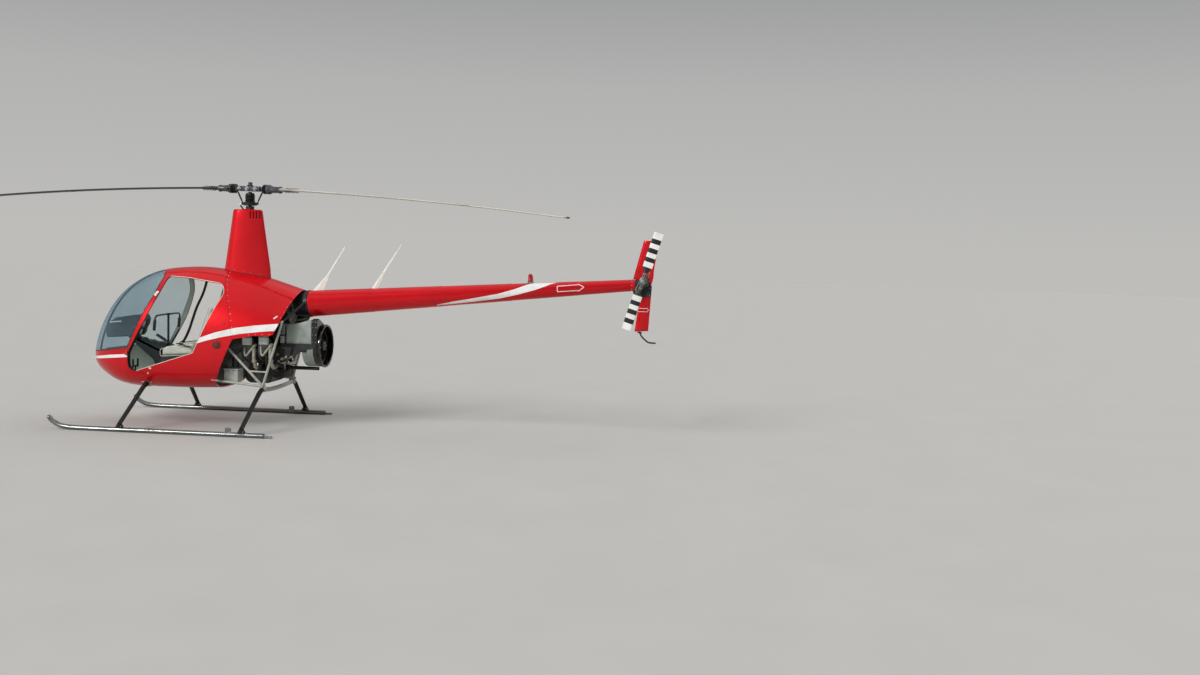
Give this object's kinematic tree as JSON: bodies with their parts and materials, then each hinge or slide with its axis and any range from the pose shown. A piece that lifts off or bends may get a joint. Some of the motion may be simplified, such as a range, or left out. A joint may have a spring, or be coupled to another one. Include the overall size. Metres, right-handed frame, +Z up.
{
  "type": "two-seat piston helicopter",
  "caption": "Light two-seat piston helicopter, doors off, parked on skids, with a teetering main rotor, a tall mast fairing, an open engine bay and a tail rotor.",
  "frame": {"origin": "bottom centre of the whole box, on the ground under the skids, 441 mm aft of the main rotor mast", "axes": "+Z up, +X aft towards the tail along the fuselage, +Y to starboard, the pilot's right-hand side"},
  "size_m": [8.32, 2.2499, 2.6863],
  "materials": {
    "red_paint": "metallic red enamel, gloss",
    "windscreen": "blue-grey tinted acrylic sheet",
    "strip_metal": "satin grey",
    "cabin_black": "matt black with a fine texture",
    "floor_mat": "black carpet over sheet metal",
    "cushion": "beige-grey vinyl",
    "firewall_steel": "sooty stainless sheet",
    "cast_alloy": "cast alloy, grey paint",
    "frame_paint": "light grey powder coat",
    "duct_sheet": "satin grey sheet metal",
    "black_paint": "satin black",
    "leg_paint": "satin black-green",
    "skid_metal": "worn bare aluminium",
    "rotor_metal": "machined alloy",
    "blade_paint": "satin dark grey",
    "banded_paint": "white enamel with black bands",
    "boot_rubber": "black rubber",
    "white_paint": "white enamel",
    "red_lens": "red lens",
    "green_lens": "green lens"
  },
  "bodies": {
    "airframe": {"nose_shell": "red_paint", "cabin_shell": "red_paint", "engine_cowl": "red_paint", "windscreen_left": "windscreen", "windscreen_right": "windscreen", "windscreen_centre_strip": "strip_metal", "cabin_floor": "floor_mat", "firewall": "firewall_steel", "seat_bulkhead": "cabin_black", "seat_base": "cabin_black", "seat_cushion_left": "cushion", "seat_cushion_right": "cushion", "seat_back_left": "cushion", "seat_back_right": "cushion", "instrument_console": "cabin_black", "cyclic_stick": "boot_rubber", "pedals_left": "black_paint", "pedals_right": "black_paint", "collective_lever": "boot_rubber", "main_gearbox": "cast_alloy", "mast_tube": "frame_paint", "mast_fairing": "red_paint", "engine_crankcase": "cast_alloy", "cylinders_left": "cast_alloy", "cylinders_right": "cast_alloy", "exhaust": "black_paint", "fuel_filter_box": "duct_sheet", "sheave_lower": "cast_alloy", "sheave_upper": "cast_alloy", "cooling_scroll": "duct_sheet", "fan_inlet_ring": "black_paint", "steel_frame": "frame_paint", "tail_cone": "red_paint", "tail_gearbox": "black_paint", "upper_fin": "red_paint", "lower_fin": "red_paint", "horizontal_stabiliser": "red_paint", "tail_skid": "black_paint", "beacon": "red_lens", "antenna_front": "white_paint", "antenna_rear": "white_paint", "nav_light_left": "red_lens", "nav_light_right": "green_lens", "cross_tube_front": "frame_paint", "cross_tube_rear": "frame_paint", "gear_leg_front_left": "leg_paint", "gear_leg_front_right": "leg_paint", "gear_leg_rear_left": "leg_paint", "gear_leg_rear_right": "leg_paint", "skid_left": "skid_metal", "skid_right": "skid_metal"},
    "main_rotor": {"rotor_shaft": "rotor_metal", "swashplate": "boot_rubber", "rotor_hub": "rotor_metal", "main_blade_fore": "blade_paint", "main_blade_aft": "blade_paint"},
    "tail_rotor": {"tail_rotor_hub": "rotor_metal", "tail_blade_upper": "banded_paint", "tail_blade_lower": "banded_paint"},
    "cooling_fan": {"fan_wheel": "cast_alloy"}
  },
  "joints": [
    {"name": "main_rotor_spin", "type": "hinge", "parent": "airframe", "child": "main_rotor", "pos_m": [-0.441, 0, 2.56], "axis": [0, 0, 1], "continuous": true},
    {"name": "tail_rotor_spin", "type": "hinge", "parent": "airframe", "child": "tail_rotor", "pos_m": [3.953, -0.27, 1.728], "axis": [0, 1, 0], "continuous": true},
    {"name": "cooling_fan_spin", "type": "hinge", "parent": "airframe", "child": "cooling_fan", "pos_m": [0.439, 0, 0.904], "axis": [1, 0, 0], "continuous": true}
  ],
  "couplings": [
    {"joint": "tail_rotor_spin", "follows": "main_rotor_spin", "ratio": 6.409}
  ]
}
